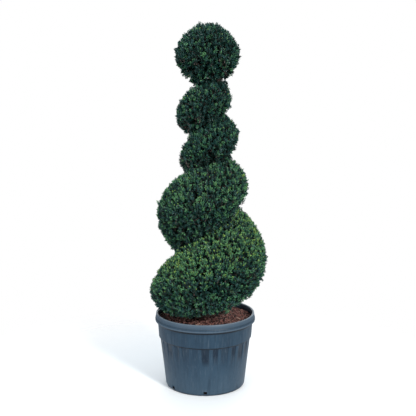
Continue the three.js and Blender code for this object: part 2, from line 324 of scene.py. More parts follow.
# Lines on the lip, by height, half width, strength and colour: painted shade above its proud band,
# a painted highlight on the band itself, and a painted highlight on the top edge.
LIP_SHADE_AND_HIGHLIGHTS = (
    (LIP_FOOT + 0.0255, 0.004, 0.7, (0.010, 0.022, 0.036)),
    (LIP_FOOT + 0.008, 0.007, 0.6, (0.098, 0.132, 0.170)),
    (POT_TOP - 0.001, 0.006, 0.6, (0.150, 0.185, 0.220)),
)
plastic = Finish("moulded_plastic", 0.5, 0.25)
stains = plastic.noise(9, 6, 0.6, (1, 1, 0.22))
body_tone = plastic.ramp(stains, (0.30, STAINED), (0.52, MOULDED), (0.75, PALE))
dust = plastic.spread(plastic.noise(70, 8, 0.7), 0.56, 0.78, 0.35)
spot = plastic.node("ShaderNodeTexCoord").outputs["Object"]
height = plastic.node("ShaderNodeSeparateXYZ", {0: spot}).outputs["Z"]
# Painted shade in the flutes: darker where the wall sinks in, patchy along them.
level = plastic.node("ShaderNodeVectorMath", {0: spot, 1: (1, 1, 0)}, operation="MULTIPLY")
from_axis = plastic.node("ShaderNodeVectorMath", {0: level.outputs["Vector"]}, operation="LENGTH")
wall_slope = (STEP_RADIUS - FOOT_RADIUS) / STEP_FOOT
wall_there = plastic.reckon("MULTIPLY_ADD", height, wall_slope, FOOT_RADIUS)
sunk = plastic.reckon("SUBTRACT", wall_there, from_axis.outputs["Value"])
patchy_flute_shade = plastic.spread(plastic.noise(10, 3, 0.6, (1, 1, 0.25)), 0.40, 0.58, 1.0, 0.30)
scuffs = plastic.spread(plastic.noise(95, 5, 0.65, (1, 1, 0.04)), 0.54, 0.74, 0.6)
streaks = plastic.spread(plastic.noise(60, 4, 0.6, (1, 1, 0.05)), 0.50, 0.30, 0.55)
# The wall turns paler towards the foot.
body_tone = plastic.mix(plastic.spread(height, *FOOT_PALING, 0.5), body_tone, PALER_FOOT)
# Painted shade in the flutes.
body_tone = plastic.mix(plastic.spread(sunk, *FLUTE_SHADE_DEPTHS, patchy_flute_shade), body_tone, FLUTE_PAINTED_SHADE)
body_tone = plastic.mix(scuffs, body_tone, SCUFFED)
body_tone = plastic.mix(streaks, body_tone, STREAKED)


def ring_line(below, edge, reach, core, most, tone_there):
    """Colour of the wall with a soft line round it, full in its core, over the colour below."""
    off = plastic.reckon("ABSOLUTE", plastic.reckon("SUBTRACT", height, edge))
    return plastic.mix(plastic.spread(off, reach, core * reach, most), below, tone_there)


# Painted shade under the lip and under the collar.
for edge, reach in SHADE_LINES_BELOW:
    body_tone = ring_line(body_tone, edge, reach, 0.5, 0.95, SHADE_LINE_TONE)
# Painted highlight: the lip grows paler up towards its round top.
lip_highlight = plastic.spread(height, LIP_FOOT + 0.012, POT_TOP - 0.012, 0.65)
body_tone = plastic.mix(lip_highlight, body_tone, LIP_HIGHLIGHT_TONE)
# Painted shade above the lip's proud band, and painted highlights on the band and the top edge.
for edge, reach, most, tone_there in LIP_SHADE_AND_HIGHLIGHTS:
    body_tone = ring_line(body_tone, edge, reach, 0.3, most, tone_there)
plastic.colour(plastic.mix(dust, body_tone, DUSTY))
worn = plastic.spread(plastic.noise(30, 6, 0.65), 0.0, 1.0, 0.62, 0.38)
plastic.links.new(worn, plastic.shader.inputs["Roughness"])
plastic.bump(plastic.noise(420, 3), 0.25, 0.0006)

# The sides of the open knock-outs are near black: painted shade in the holes.
hole_edge_shade = Finish("hole_edge_painted_shade", 0.8, 0.1)
hole_edge_shade.plain((0.004, 0.006, 0.008))
pot_faces = np.concatenate(pot_faces)
fans = end_fans(len(rows), COLUMNS)
round_a_hole = np.zeros(len(pot_faces) + len(fans))
round_a_hole[plain_faces:len(pot_faces)] = 1
pot = mesh_piece("nursery_pot", pot_verts, [pot_faces, fans],
                 [plastic.material, hole_edge_shade.material], slots=round_a_hole, smooth=True)
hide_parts("pot")


# -------------------------------------------------- compost and mulch
# The pot is filled with compost to a little under the rim, and the compost is covered with coarse
# bark mulch: split chips of reddish-brown bark, some weathered paler, lying any way up.
_, soil_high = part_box("mulch_root_ball")
SOIL_TOP = soil_high[2]
SOIL_EDGE = SOIL_TOP - 0.016
BED_RINGS, BED_COLUMNS = 34, 96
CHIPS = 4200
CHIP_LENGTH = (0.008, 0.030)
CHIP_WIDTH, CHIP_THICKNESS = (0.25, 0.6), (0.1, 0.3)  # of its length
CHIP_TILT = 0.35  # typical lean of a chip, in radians
SIDE_GAP, FOOT_GAP = 0.0015, 0.014  # between the compost and the wall, high up and at the foot
BED_BOTTOM = 0.0075


def rough(x, y, scale):
    """A few crossed waves, about -1 to 1, for ground that nobody has raked."""
    a = np.sin(x * scale + 1.7 * np.sin(y * scale * 0.8)) * np.cos(y * scale * 1.3 + 0.9)
    b = np.sin((x + y) * scale * 2.3 + 2.0) * np.cos((x - y) * scale * 1.9)
    return 0.6 * a + 0.4 * b


def ring_quads(rings, sides):
    """Faces between so many rings of vertices, from each ring to the next."""
    at = np.arange(sides)
    beside = (at + 1) % sides
    band = np.stack([at, beside, beside + sides, at + sides], axis=1)
    return np.concatenate([band + i * sides for i in range(rings - 1)])


def bed_height(x, y):
    """Height of the compost: a low mound that falls off to the wall."""
    share = np.clip(np.hypot(x, y) / 0.37, 0, 1)
    fall = (SOIL_TOP - SOIL_EDGE - 0.005) * share ** 2.5
    return SOIL_TOP - 0.009 - fall + 0.0025 * rough(x, y, 42)


bed_radius = body_radius(SOIL_EDGE) - WALL - SIDE_GAP
ring_share = np.linspace(0.02, 1, BED_RINGS) ** 0.8
bed_angle = np.arange(BED_COLUMNS) * math.tau / BED_COLUMNS
bed_x = bed_radius * ring_share[:, None] * np.cos(bed_angle)
bed_y = bed_radius * ring_share[:, None] * np.sin(bed_angle)
bed_rows = [np.stack([x, y, bed_height(x, y)], axis=1) for x, y in zip(bed_x, bed_y)]
for z in (COLLAR_FOOT, STEP_FOOT, 0.20, HOLE_HIGH, BED_BOTTOM):
    r = body_radius(z) - WALL - (SIDE_GAP if z > 0.1 else FOOT_GAP)
    ring_there = [r * np.cos(bed_angle), r * np.sin(bed_angle), np.full(BED_COLUMNS, z)]
    bed_rows.append(np.stack(ring_there, axis=1))
bed_verts = np.concatenate([*bed_rows, [(0, 0, bed_height(0.0, 0.0)), (0, 0, BED_BOTTOM)]])
bed_quads = ring_quads(len(bed_rows), BED_COLUMNS)[:, ::-1]  # its rings go from the top down
bed_fans = end_fans(len(bed_rows), BED_COLUMNS)[:, [1, 0, 2]]
compost = Finish("damp_compost", 0.95, 0.2)
WET_COMPOST, DRY_COMPOST = (0.006, 0.004, 0.004), (0.024, 0.014, 0.012)
compost.colour(compost.ramp(compost.noise(160, 8, 0.7), (0.35, WET_COMPOST), (0.65, DRY_COMPOST)))
compost.bump(compost.noise(260, 6), 0.8, 0.004)
bed = mesh_piece("compost_bed", bed_verts, [bed_quads, bed_fans], [compost.material], smooth=True)

chip_tones = []
for name, light, dark in (
    ("mulch_red_brown", (0.235, 0.096, 0.081), (0.130, 0.055, 0.047)),
    ("mulch_dark", (0.076, 0.034, 0.032), (0.038, 0.019, 0.018)),
    ("mulch_brown", (0.270, 0.130, 0.108), (0.150, 0.073, 0.060)),
    ("mulch_pale", (0.470, 0.310, 0.240), (0.280, 0.165, 0.128)),
):
    chip = Finish(name, 0.85, 0.25)
    chip.colour(chip.ramp(chip.noise(380, 5, 0.7, (1, 1, 3)), (0.35, dark), (0.65, light)))
    chip.bump(chip.noise(700, 4), 0.5, 0.001)
    chip_tones.append(chip.material)


def turned_frames(count, flat):
    """Random right-handed frames, as rows of length, width and thickness; flat is how far from
    level they typically lean."""
    yaw = dice.uniform(0, math.tau, count)
    lift = dice.normal(0, flat, count)
    roll = dice.normal(0, flat, count)
    along = np.stack([np.cos(yaw) * np.cos(lift), np.sin(yaw) * np.cos(lift), np.sin(lift)], axis=1)
    side = np.stack([-np.sin(yaw), np.cos(yaw), np.zeros(count)], axis=1)
    up = np.cross(along, side)
    tilted = side * np.cos(roll)[:, None] + up * np.sin(roll)[:, None]
    return np.stack([along, tilted, np.cross(along, tilted)], axis=1)


# One split chip: a wedge with pointed, chamfered ends, in units of its length, width and thickness.
CHIP_CORNERS = np.array([
    (-0.50, 0.05, 0.1), (-0.22, -0.50, -0.4), (0.30, -0.42, -0.5), (0.50, -0.08, 0.0),
    (0.18, 0.50, -0.4), (-0.26, 0.46, -0.5), (-0.20, -0.36, 0.5), (0.26, -0.28, 0.4),
    (0.20, 0.36, 0.5), (-0.24, 0.30, 0.4),
])
CHIP_FACES = np.array([
    (0, 1, 6), (0, 6, 9), (0, 9, 5), (0, 5, 1), (1, 2, 7), (1, 7, 6), (2, 3, 7), (3, 8, 7),
    (3, 4, 8), (3, 2, 4), (4, 5, 9), (4, 9, 8), (6, 7, 8), (6, 8, 9), (1, 5, 4), (1, 4, 2),
])
chip_r = (bed_radius - 0.008) * np.sqrt(dice.uniform(0, 1, CHIPS))
chip_a = dice.uniform(0, math.tau, CHIPS)
chip_x, chip_y = chip_r * np.cos(chip_a), chip_r * np.sin(chip_a)
chip_z = bed_height(chip_x, chip_y) + dice.uniform(-0.001, 0.007, CHIPS)
chip_long = dice.uniform(*CHIP_LENGTH, CHIPS) * dice.uniform(0.6, 1, CHIPS)
chip_wide = chip_long * dice.uniform(*CHIP_WIDTH, CHIPS)
chip_thick = chip_long * dice.uniform(*CHIP_THICKNESS, CHIPS)
chip_size = np.stack([chip_long, chip_wide, chip_thick], axis=1)
chip_shape = CHIP_CORNERS + dice.normal(0, 0.06, (CHIPS, *CHIP_CORNERS.shape))
chip_shape = chip_shape * chip_size[:, None]
chip_verts = np.einsum("nvk,nkd->nvd", chip_shape, turned_frames(CHIPS, CHIP_TILT))
chip_verts += np.stack([chip_x, chip_y, chip_z], axis=1)[:, None]
chip_faces = CHIP_FACES[None] + np.arange(CHIPS)[:, None, None] * len(CHIP_CORNERS)
chip_faces = chip_faces.reshape(-1, 3)
chip_tone = dice.choice(len(chip_tones), CHIPS, p=(0.42, 0.22, 0.28, 0.08))
mulch = mesh_piece("bark_mulch", chip_verts.reshape(-1, 3), [chip_faces], chip_tones,
                   slots=np.repeat(chip_tone, len(CHIP_FACES)))
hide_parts("mulch_root_ball")


# -------------------------------------------------- trunk
# One grey-brown stem, grown up a cane and then left to wind a little. The bark is finely ridged up
# and down, and the root flare spreads in low buttresses.
BUTTRESSES, HOLLOW_DEPTH = 5, 0.10  # the hollows are between them, as a share of the radius
FLARE_HEIGHT = 0.024
RIDGE_HEIGHT = 0.0006
SUNK_IN_MULCH = 0.012
SAME_LEVEL = 0.0015  # heights this close belong to one ring of the stem
BARK_RINGS, BARK_SIDES = 300, 40
trunk_points = np.array([v.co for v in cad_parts["trunk"].data.vertices])
trunk_levels = np.unique(np.round(trunk_points[:, 2], 3))
trunk_rings = [trunk_points[np.abs(trunk_points[:, 2] - z) < SAME_LEVEL] for z in trunk_levels]
trunk_centre = np.array([(ring[:, :2].min(0) + ring[:, :2].max(0)) / 2 for ring in trunk_rings])
trunk_width = np.array([
    np.hypot(*(ring[:, :2] - mid).T).max() for ring, mid in zip(trunk_rings, trunk_centre)])


def trunk_at(z):
    """Middle of the trunk at height z."""
    return np.stack([np.interp(z, trunk_levels, trunk_centre[:, k]) for k in (0, 1)], axis=-1)


def trunk_radius(z):
    """Outside radius of the trunk at height z."""
    return np.interp(z, trunk_levels, trunk_width)


bark_foot = SOIL_TOP - SUNK_IN_MULCH
bark_z = bark_foot + (trunk_levels[-1] - bark_foot) * np.linspace(0, 1, BARK_RINGS) ** 1.25
bark_angle = np.arange(BARK_SIDES) * math.tau / BARK_SIDES
z_all, a_all = np.meshgrid(bark_z, bark_angle, indexing="ij")
ridges = np.sin(a_all * 9 + 3 * np.sin(z_all * 21)) * np.sin(z_all * 67 + 2 * np.cos(a_all * 3))
ridges += 0.6 * np.sin(a_all * 14 + z_all * 33) + 0.4 * np.sin(z_all * 190 + 2 * a_all)
flare = np.exp(-(z_all - SOIL_TOP) / FLARE_HEIGHT)
hollow = HOLLOW_DEPTH * flare * (1 - np.cos(BUTTRESSES * a_all)) / 2
bark_r = trunk_radius(z_all) * (1 - hollow)
bark_r += RIDGE_HEIGHT * ridges * np.clip(bark_r / 0.03, 0.3, 1)
mid = trunk_at(bark_z)
bark_x, bark_y = mid[:, :1] + bark_r * np.cos(a_all), mid[:, 1:] + bark_r * np.sin(a_all)
bark_verts = np.stack([bark_x, bark_y, z_all], axis=-1).reshape(-1, 3)
bark_verts = np.concatenate([bark_verts, [(*mid[0], bark_z[0]), (*mid[-1], bark_z[-1])]])
bark_faces = [ring_quads(BARK_RINGS, BARK_SIDES), end_fans(BARK_RINGS, BARK_SIDES)]
CRACKS, BARK_BROWN, BARK_GREY = (0.045, 0.034, 0.028), (0.120, 0.094, 0.075), (0.205, 0.170, 0.140)
bark = Finish("ridged_bark", 0.9, 0.25)
bark_grain = bark.noise(90, 8, 0.65, (1, 1, 0.25))
bark.colour(bark.ramp(bark_grain, (0.32, CRACKS), (0.5, BARK_BROWN), (0.7, BARK_GREY)))
bark.bump(bark_grain, 0.8, 0.003)
trunk = mesh_piece("trunk_bark", bark_verts, bark_faces, [bark.material], smooth=True)
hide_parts("trunk")


# -------------------------------------------------- where the sprays end
# Clipping leaves every spray of the plant ending near the surface of one of the clipped masses.
# Sprays stand close on the sunny upper sides and thin out underneath. Shorter, shaded ones fill the
# crown behind them.
SPRAY_SPACING = 0.0212
INNER_SPACING = 0.0285
CUT_GAP = 0.0035  # less air than this in front of the surface is where two masses join, not growth
NARROW_GAP, OPEN_GAP = 0.006, 0.050  # up to the one sprays are thinned, from the other they're full
CROWDED_COVER = 0.75
UNDERSIDE_COVER, HIGH_UNDERSIDE_LOSS = 0.72, 0.12
CLEAR_OF_TRUNK = 0.025
TUFT_DEPTH = 0.003
SPRAY_DEPTH = (-0.003, 0.009)
INNER_DEPTH = (0.026, 0.110)
HEART_SHARE = 0.35  # of the inner sprays on the lower turns, which lie twice as deep
STRAY_SHARE, STRAY_LENGTH = 0.03, (0.006, 0.018)  # shoots that have outgrown the clipping
LOOK_AHEAD = 0.09
OFF_SURFACE = 0.0004  # where the look ahead starts
TRIES = 3.0  # places tried for each that the spacing has room for
BRIDGED_GAP = (0.040, 0.075)  # sprays reach across a narrower gap, and not across a wider one


def unit(v):
    """Vectors of length 1."""
    return v / np.maximum(np.linalg.norm(v, axis=-1, keepdims=True), 1e-9)


def ease(v, low, high):
    """0 up to low, 1 from high, and smooth between."""
    t = np.clip((v - low) / (high - low), 0, 1)
    return t * t * (3 - 2 * t)


def patches(p, scale, seed):
    """Smooth blotches through space, about -1 to 1."""
    q = p * scale + seed
    a = np.sin(q[:, 0] + 1.9 * np.sin(q[:, 1] * 0.7)) * np.cos(q[:, 2] * 1.2 + q[:, 0] * 0.5)
    b = np.sin(q[:, 2] * 2.1 + 1.3 * np.cos(q[:, 0] * 1.6)) * np.cos(q[:, 1] * 1.9 + 0.4 * seed)
    return 0.55 * a + 0.45 * b


mass_names = sorted(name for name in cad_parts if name.startswith("foliage"))
mass_corners = {}
for name in mass_names:
    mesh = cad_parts[name].data
    mesh.calc_loop_triangles()
    places = np.array([v.co for v in mesh.vertices])
    mass_corners[name] = places[np.array([t.vertices for t in mesh.loop_triangles])]
every_corner = np.concatenate(list(mass_corners.values())).reshape(-1, 3)
every_triangle = np.arange(len(every_corner)).reshape(-1, 3)
clipped_surface = BVHTree.FromPolygons(every_corner.tolist(), every_triangle.tolist())


def high_up(z):
    """0 on the lower turns and 1 on the top ones, whose growth is thinner and more upright."""
    return ease(z, 1.55, 2.05)


def scattered(corners, spacing):
    """Random points over a mass's surface that keep their distance, and its normals there."""
    normal = np.cross(corners[:, 1] - corners[:, 0], corners[:, 2] - corners[:, 0])
    area = np.linalg.norm(normal, axis=1) / 2
    count = int(TRIES * area.sum() / spacing ** 2)
    pick = dice.choice(len(area), count, p=area / area.sum())
    s, t = dice.uniform(0, 1, (2, count))
    s, t = np.where(s + t > 1, 1 - s, s), np.where(s + t > 1, 1 - t, t)
    a, b, c = corners[pick].transpose(1, 0, 2)
    place = a + (b - a) * s[:, None] + (c - a) * t[:, None]
    taken, kept = {}, []
    for number, point_there in enumerate(place.tolist()):
        x, y, z = (math.floor(v / spacing) for v in point_there)
        neighbours = (other for i in (0, -1, 1) for j in (0, -1, 1) for k in (0, -1, 1)
                      for other in taken.get((x + i, y + j, z + k), ()))
        if all(math.dist(point_there, other) > spacing for other in neighbours):
            taken.setdefault((x, y, z), []).append(point_there)
            kept.append(number)
    return place[kept], unit(normal)[pick[kept]]


def spray_ends(corners):
    """Where a mass's sprays end: their places, the surface's normals there, how deep inside they
    are, which are inner ones, and how much air is in front of them."""
    outer_place, outer_normal = scattered(corners, SPRAY_SPACING)
    inner_place, inner_normal = scattered(corners, INNER_SPACING)
    place = np.concatenate([outer_place, inner_place])
    normal = np.concatenate([outer_normal, inner_normal])
    inner = np.arange(len(place)) >= len(outer_place)
    gap = np.full(len(place), LOOK_AHEAD)
    for i in range(len(place)):
        start = Vector(place[i] + normal[i] * OFF_SURFACE)
        distance = clipped_surface.ray_cast(start, Vector(normal[i]), LOOK_AHEAD)[3]
        if distance is not None:
            gap[i] = distance
    cover = CROWDED_COVER + (1 - CROWDED_COVER) * ease(gap, NARROW_GAP, OPEN_GAP)
    cover *= gap > CUT_GAP
    underside_cover = UNDERSIDE_COVER - HIGH_UNDERSIDE_LOSS * high_up(place[:, 2])
    cover *= np.where(inner, 1, 1 - (1 - underside_cover) * ease(-normal[:, 2], 0.1, 0.8))
    from_trunk = np.hypot(*(place[:, :2] - trunk_at(place[:, 2])).T) - trunk_radius(place[:, 2])
    cover *= from_trunk > CLEAR_OF_TRUNK
    kept = dice.uniform(0, 1, len(place)) < cover
    place, normal, gap, inner = place[kept], normal[kept], gap[kept], inner[kept]
    count = len(place)
    depth = dice.uniform(*SPRAY_DEPTH, count) + TUFT_DEPTH * patches(place, 70, 1.0)
    stray = dice.uniform(0, 1, count) < STRAY_SHARE * (0.6 + 0.9 * high_up(place[:, 2]))
    depth -= stray * dice.uniform(*STRAY_LENGTH, count)
    depth -= 0.5 * gap * (1 - ease(gap, *BRIDGED_GAP))
    deeper = 1 + (dice.uniform(0, 1, count) < HEART_SHARE) * (1 - high_up(place[:, 2]))
    inner_depth = dice.uniform(*INNER_DEPTH, count) * deeper * ease(gap, 0.0, BRIDGED_GAP[1])
    depth = np.where(inner, inner_depth, depth)
    return place - normal * depth[:, None], normal, depth, inner, gap


# -------------------------------------------------- boughs and twigs
# Short boughs leave the trunk all the way up, and fork again and again until each twig carries one
# or two sprays. A limb is as thick as the sprays it feeds need. Boughs have ridged bark, and twigs
# are smooth.
SPRAYS_ON_A_TWIG = 2
BOUGHS_PER_MASS = 3
BOUGHS_IN_BALL = 9
REACH_TO_FORK = 0.43  # of the way to the middle of the sprays it feeds, where a limb forks
FORK_WANDER = 0.06
FORK_SHARES = (0.36, 0.64)  # of the sprays that one side of a fork feeds
BOUGH_FROM = 12  # sprays fed by the thinnest limb that counts as a bough
BOUGH_DROP, BOUGH_RISE = 0.45, 0.35  # how far below its sprays a bough leaves, and how it heads up
LOWEST_BOUGH, HIGHEST_BOUGH = SOIL_TOP + 0.04, trunk_levels[-1] - 0.03
THINNEST, THICKENING = 0.0015, 0.43  # radius of a limb that feeds one spray, and how it thickens
STALK_FEEDS, SHOOT_FEEDS = 0.7, 0.4  # in sprays, for their thickness
TAPER, STALK_TAPER, SHOOT_TAPER = 0.85, 0.8, 0.5  # thickness at the end, as a share
STRAIGHT_FOR = 0.35  # how far a limb keeps its heading before it bends, as a share
OUTWARD = 0.60  # lean of a spray away from its mass
SKYWARD, SKYWARD_ON_TOP = 0.15, 0.55  # lean towards the sky everywhere, and what tops add to it
WAYWARD = 0.20
SPRAY_LENGTH = (0.052, 0.085)
SHOOTS_IN_A_SPRAY = 3
FAN_WIDTH = 0.013  # how far the shoots of a spray spread from its middle
FAN_AT_FOOT = 0.15  # of its width at their ends
SHOOT_LAG = 0.012  # how far the shortest shoot ends below the longest
BARE_TIP = 0.006  # how far a shoot's wood ends below its last leaves


def limb_radius(sprays):
    """Radius of a limb that feeds that many sprays."""
    return THINNEST * np.power(sprays, THICKENING)


def grow(start, heading, ends):
    """Grows one bough from start, forking until every spray is fed. Returns the limbs, as rows of
    start, heading, end and sprays fed, and the place each spray springs from."""
    limbs = []
    springs = np.empty_like(ends)
    growing = [(start, heading, np.arange(len(ends)))]
    while growing:
        here, heading, fed = growing.pop()
        if len(fed) <= SPRAYS_ON_A_TWIG:
            springs[fed] = here
            continue
        middle = ends[fed].mean(0)
        way = middle - here
        astray = dice.normal(0, FORK_WANDER, 3) * np.linalg.norm(way)
        fork = here + way * REACH_TO_FORK + astray
        limbs.append((*here, *heading, *fork, len(fed)))
        spread = ends[fed] - middle
        widest = np.linalg.eigh(spread.T @ spread)[1][:, 2]
        order = fed[np.argsort(spread @ widest)]
        cut = int(len(order) * dice.uniform(*FORK_SHARES))
        heading = way / max(np.linalg.norm(way), 1e-6)
        growing += [(fork, heading, order[:cut]), (fork, heading, order[cut:])]
    return np.array(limbs), springs


def bough_groups(name, ends):
    """Shares a mass's sprays among its boughs, by the side of the trunk that they are on."""
    offset = ends[:, :2] - trunk_at(ends[:, 2])
    turn = np.arctan2(offset[:, 1], offset[:, 0])
    middle = math.atan2(*offset.mean(0)[::-1])
    if "ball" in name:
        low = ends[:, 2] < np.median(ends[:, 2])
        sector = ((turn + math.pi) / math.tau * (BOUGHS_IN_BALL // 2)).astype(int)
        sector += low * BOUGHS_IN_BALL
        return [np.flatnonzero(sector == k) for k in np.unique(sector)]
    across = (turn - middle + math.pi) % math.tau
    return np.array_split(np.argsort(across), BOUGHS_PER_MASS)


def tubes(start, heading, end, thick, thin, rings, sides, relief=0.0):
    """Tapered tubes that leave along their heading and bend to their end: vertices and faces."""
    count = len(start)
    share = np.linspace(0, 1, rings)[None, :, None]
    span = np.linalg.norm(end - start, axis=1)[:, None]
    bend = start + heading * span * STRAIGHT_FOR
    line = start[:, None] * (1 - share) ** 2 + 2 * bend[:, None] * share * (1 - share)
    line = line + end[:, None] * share ** 2
    axis = unit(end - start)
    lean = np.where(np.abs(axis[:, 2:]) < 0.9, [[0.0, 0.0, 1.0]], [[1.0, 0.0, 0.0]])
    across = unit(np.cross(axis, lean))
    over = np.cross(axis, across)
    turn = np.arange(sides) * math.tau / sides
    radius = thick[:, None] + (thin - thick)[:, None] * share[..., 0]
    radius = radius[:, :, None] * (1 + relief * dice.uniform(-1, 1, (count, rings, sides)))
    ring = across[:, None, None] * np.cos(turn)[:, None]
    ring = ring + over[:, None, None] * np.sin(turn)[:, None]
    verts = line[:, :, None] + ring * radius[..., None]
    faces = ring_quads(rings, sides)[None] + np.arange(count)[:, None, None] * rings * sides
    return verts.reshape(-1, 3), faces.reshape(-1, 4)


twig_tones = []
for name, colour in (
    ("twig_grey_brown", (0.120, 0.095, 0.085)),
    ("twig_red_brown", (0.160, 0.112, 0.102)),
):
    twig_tones.append(Finish(name, 0.7, 0.3))
    twig_tones[-1].plain(colour)

sprays = {}
bough_limbs = []
for name in mass_names:
    ends, normals, depths, inner, gaps = spray_ends(mass_corners[name])
    rising = SKYWARD + SKYWARD_ON_TOP * ease(normals[:, 2:], -0.45, 0.10)
    wayward = dice.normal(0, WAYWARD, ends.shape)
    lean = unit(OUTWARD * normals + rising * [[0, 0, 1]] + wayward)
    length = dice.uniform(*SPRAY_LENGTH, len(ends))
    feet = ends - lean * length[:, None]
    springs = np.empty_like(feet)
    limbs = []
    for group in bough_groups(name, ends):
        middle = feet[group].mean(0)
        away = middle[:2] - trunk_at(middle[2])
        leave_z = middle[2] - BOUGH_DROP * np.hypot(*away)
        leave_z = np.clip(leave_z, LOWEST_BOUGH, HIGHEST_BOUGH)
        leave = np.array([*trunk_at(leave_z), leave_z])
        heading = unit(np.array([*away, BOUGH_RISE * np.hypot(*away)]))
        grown, springs[group] = grow(leave, heading, feet[group])
        limbs.append(grown)
    limbs = np.concatenate(limbs)
    bough_limbs.append(limbs[limbs[:, 9] >= BOUGH_FROM])
    twigs = limbs[limbs[:, 9] < BOUGH_FROM]
    thickness = limb_radius(twigs[:, 9])
    verts, faces = tubes(*np.split(twigs[:, :9], 3, axis=1), thickness, thickness * TAPER, 2, 4)
    slim = np.full(len(feet), limb_radius(STALK_FEEDS))
    along = unit(feet - springs)
    stalk_verts, stalk_faces = tubes(springs, along, feet, slim, slim * STALK_TAPER, 2, 3)

    count = len(ends)
    side_a = unit(np.cross(lean, dice.normal(0, 1, lean.shape)))
    side_b = np.cross(lean, side_a)
    turn = dice.normal(0, 0.35, (count, SHOOTS_IN_A_SPRAY))
    turn += np.arange(SHOOTS_IN_A_SPRAY) * math.tau / SHOOTS_IN_A_SPRAY
    fan = side_a[:, None] * np.cos(turn)[..., None] + side_b[:, None] * np.sin(turn)[..., None]
    fan *= FAN_WIDTH * dice.uniform(0.35, 1, (count, SHOOTS_IN_A_SPRAY, 1))
    lag = dice.uniform(0, SHOOT_LAG, (count, SHOOTS_IN_A_SPRAY, 1))
    shoot_foot = (feet[:, None] + FAN_AT_FOOT * fan).reshape(-1, 3)
    shoot_end = (ends[:, None] + fan - lean[:, None] * lag).reshape(-1, 3)
    slim = np.full(len(shoot_end), limb_radius(SHOOT_FEEDS))
    along = unit(shoot_end - shoot_foot)
    tip = shoot_end - along * BARE_TIP
    leafy_verts, leafy_faces = tubes(shoot_foot, along, tip, slim, slim * SHOOT_TAPER, 2, 3)
    all_faces = np.concatenate([
        faces, stalk_faces + len(verts), leafy_faces + len(verts) + len(stalk_verts)])
    piece_name = name.replace("foliage", "twigs")
    all_verts = np.concatenate([verts, stalk_verts, leafy_verts])
    twig_piece = mesh_piece(piece_name, all_verts, [all_faces],
                            [tone.material for tone in twig_tones],
                            slots=dice.integers(0, len(twig_tones), len(all_faces)))
    sprays[name] = (shoot_foot, shoot_end, ends, normals, depths, inner, gaps)

bough_limbs = np.concatenate(bough_limbs)
thickness = limb_radius(bough_limbs[:, 9])
verts, faces = tubes(*np.split(bough_limbs[:, :9], 3, axis=1), thickness, thickness * TAPER, 6, 8,
                     relief=0.10)
boughs = mesh_piece("boughs", verts, [faces], [bark.material], smooth=True)


# -------------------------------------------------- leaves
# Small oval evergreen leaves, each folded a little along its midrib, in a spiral up every shoot.
# Old leaves are a dark bluish green. New growth, most of it on the sunny lower turns, is yellower.
LEAVES_ON_A_SHOOT = 8
INNER_LEAVES = 6
LEAF_LENGTH = (0.0155, 0.0215)
INNER_LEAF_SIZE = 1.85  # of an outer leaf
LEAF_WIDTH = 0.46  # of its length
HIGH_SLIMMER, HIGH_LONGER = 0.10, 0.14  # what leaves lose and gain high up on the plant
FOOT_TILT, TIP_CLOSING = 58, 32  # lean of a shoot's leaves off it, and how much less at its tip
HIGH_UPRIGHT, HIGH_CLOSING = 14, 10  # less of each, high up on the plant
TILT_WANDER = 9
ROLL_WANDER, TURN_WANDER = 0.35, 0.2  # in radians
GOLDEN_ANGLE = math.radians(137.5)
FIRST_LEAF = 0.22  # how far up its shoot
LAST_LEAF_BACK = 0.008  # how far the last leaf's foot stands back from the end of its shoot
TIP_LEAF_SMALLER = 0.30
# Shaded corners where leaves have dropped and twigs show, by the middle and the radius of each.
BARE_SPOTS = np.array([
    (0.145, -0.060, 2.440, 0.085), (-0.170, -0.060, 2.060, 0.075), (-0.190, -0.060, 1.815, 0.070),
])
BARE_SHARE = 0.7  # of the sprays in the middle of a bare spot
# Leaf outlines from stalk round by the tip, as length, width and lift of the fold, in leaf lengths.
LEAF_OUTLINE = np.array([
    (0.00, 0.0, 0.00), (0.30, 0.5, 0.10), (0.72, 0.42, 0.07),
    (1.00, 0.0, -0.05), (0.72, -0.42, 0.07), (0.30, -0.5, 0.10),
])
LEAF_HALVES = np.array([(0, 3, 2, 1), (0, 5, 4, 3)])
INNER_OUTLINE = np.array([
    (0.00, 0.0, 0.00), (0.48, 0.58, 0.10), (1.00, 0.0, -0.04), (0.48, -0.58, 0.10),
])
INNER_HALVES = np.array([(0, 2, 1), (0, 3, 2)])
# Shares of shoots that are a tone darker or lighter than their spray, and of shaded inner shoots.
DARKER_SHOOTS, LIGHTER_SHOOTS, SHADED_INNER = 0.30, 0.28, 0.6
# How far up a shoot leaves are in shade, how far a tone darker, and from where young or lighter.
SHADED_TO, DARKER_TO, YOUNG_FROM, LIGHTER_FROM = 0.36, 0.50, 0.80, 0.86
LIGHTER_TIPS, YOUNG_TIPS = 0.5, 0.28  # shares of the leaves there
# Heights between which the low turns' yellower growth gives out, and sooner for its young tips.
NEW_GROWTH_FADES, YOUNG_TIPS_FADE = (1.10, 2.15), (1.15, 1.75)
HIGH_YOUNG_TIPS_LOSS = 0.93
# Fewer lighter tones on top of the ball are painted shade, against the stronger light there.
BALL_DARKENS, BALL_DARKER = (2.50, 2.80), 0.45  # heights, and the loss of lighter tones on top
SHADED_DEPTH = 0.010  # deeper leaves are a tone darker
OVERHUNG_GAP = (0.012, 0.075)  # sprays are shaded below the one, and not above the other

leaf_tones = []
for name, colour, roughness in (
    ("leaf_shaded", (0.002, 0.020, 0.013), 0.60),
    ("leaf_deep_green", (0.007, 0.049, 0.040), 0.42),
    ("leaf_blue_green", (0.033, 0.096, 0.088), 0.36),
    ("leaf_mid_green", (0.044, 0.146, 0.080), 0.38),
    ("leaf_fresh_green", (0.108, 0.275, 0.120), 0.40),
    ("leaf_young_yellow", (0.260, 0.420, 0.095), 0.50),
):
    leaf_tones.append(Finish(name, roughness, 0.36))
    leaf_tones[-1].plain(colour)
SHADED, DEEP, BLUE, MID, FRESH, YOUNG = range(len(leaf_tones))
ONE_TONE_DARKER = np.array([SHADED, SHADED, DEEP, DEEP, MID, MID])
ONE_TONE_LIGHTER = np.array([DEEP, BLUE, MID, FRESH, FRESH, YOUNG])


